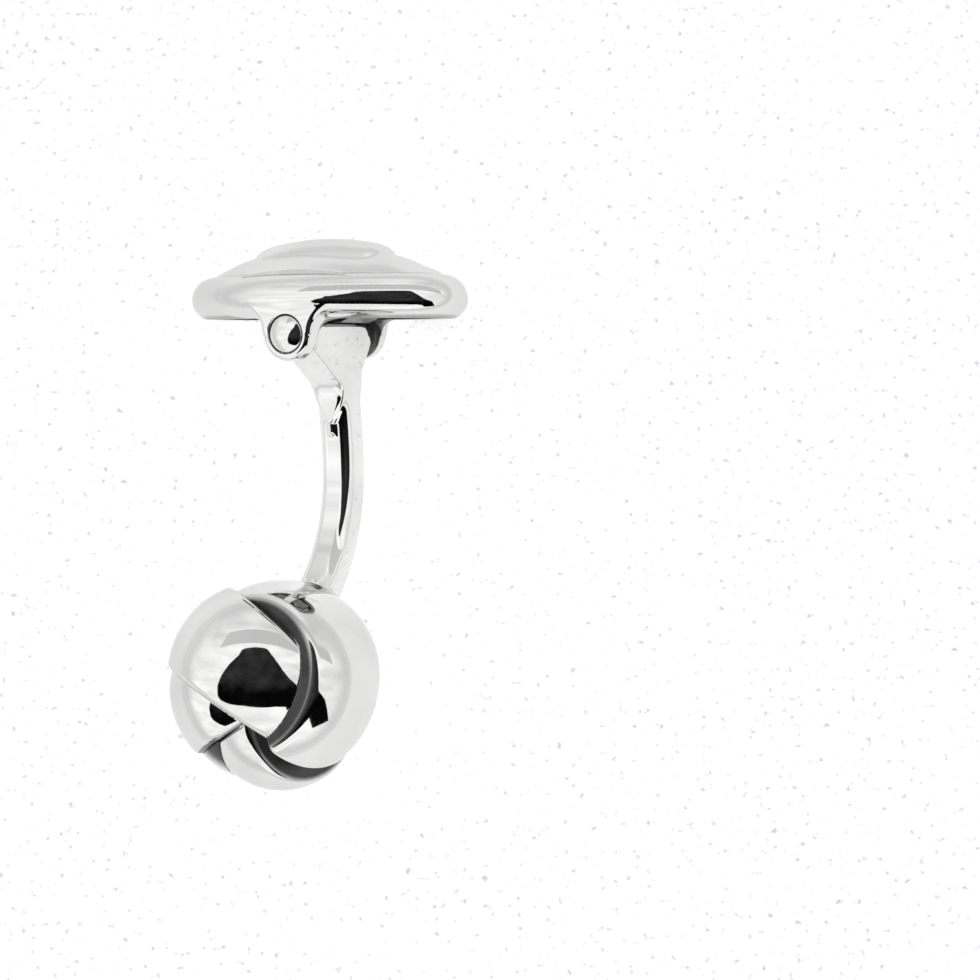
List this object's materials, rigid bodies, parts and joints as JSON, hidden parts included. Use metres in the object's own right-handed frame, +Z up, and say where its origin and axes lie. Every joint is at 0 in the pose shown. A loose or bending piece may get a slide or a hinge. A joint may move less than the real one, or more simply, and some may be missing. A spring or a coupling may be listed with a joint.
{
  "type": "swivel-toggle cufflink",
  "caption": "Polished silver cufflink: a ball woven from wide crowned straps on a curved post, with a stepped oval toggle that swivels on a cross pin to pass through and lock a shirt cuff",
  "frame": {"origin": "centre of the bounding box's footprint, on the plane that the cufflink lies on", "axes": "+Z up from the table, +Y from the knot to the toggle along the lying cufflink, +X to the right as seen from above; the cufflink lies on the knot, the back of the shank and the toggle's rim"},
  "size_m": [0.0178, 0.0336, 0.0126],
  "materials": {
    "silver": "mirror-polished sterling silver",
    "spring": "spring steel strip, fine brushed"
  },
  "bodies": {
    "post_body": {"post": "silver", "post_foot": "silver", "knot_front": "silver", "knot_back": "silver"},
    "toggle": {"toggle_frame": "silver", "toggle_dome": "silver", "pivot_pin": "silver", "leaf_spring": "spring"}
  },
  "joints": [
    {"name": "toggle_swivel", "type": "hinge", "parent": "post_body", "child": "toggle", "pos_m": [-0.00001, 0.01101, 0.00525], "axis": [0.3759, 0.2182, -0.9006], "range_deg": [-85, 85], "deforming": ["leaf_spring"]}
  ]
}
